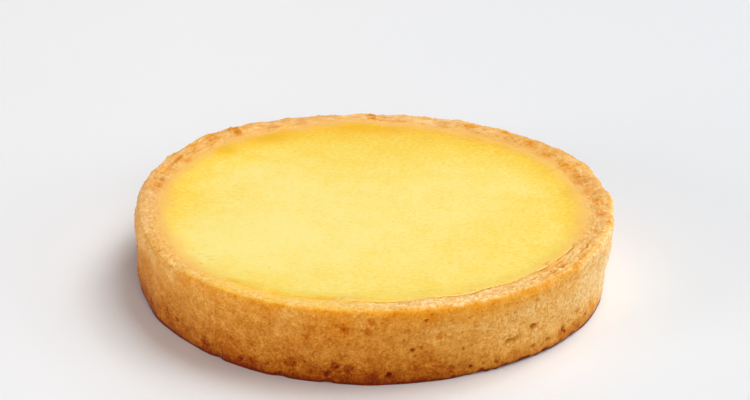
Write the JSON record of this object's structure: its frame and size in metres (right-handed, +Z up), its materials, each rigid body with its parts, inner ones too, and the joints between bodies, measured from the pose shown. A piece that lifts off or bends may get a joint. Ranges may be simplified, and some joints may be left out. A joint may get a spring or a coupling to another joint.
{
  "type": "lemon tartlet",
  "caption": "Round shallow tartlet: a thick shortcrust pastry case with a leaning wall and an uneven rim, filled almost to the brim with smooth set lemon curd.",
  "frame": {"origin": "middle of the flat underside, where the tartlet rests", "axes": "+Z up through the middle of the tartlet, the pictured view looks along +Y with +X to the right"},
  "size_m": [0.0903, 0.0902, 0.0156],
  "materials": {
    "crust": "baked shortcrust pastry, sandy and matte, browner towards the foot",
    "filling": "set lemon curd, smooth and softly glossy"
  },
  "bodies": {
    "root": {"crust": "crust", "filling": "filling"}
  },
  "joints": []
}
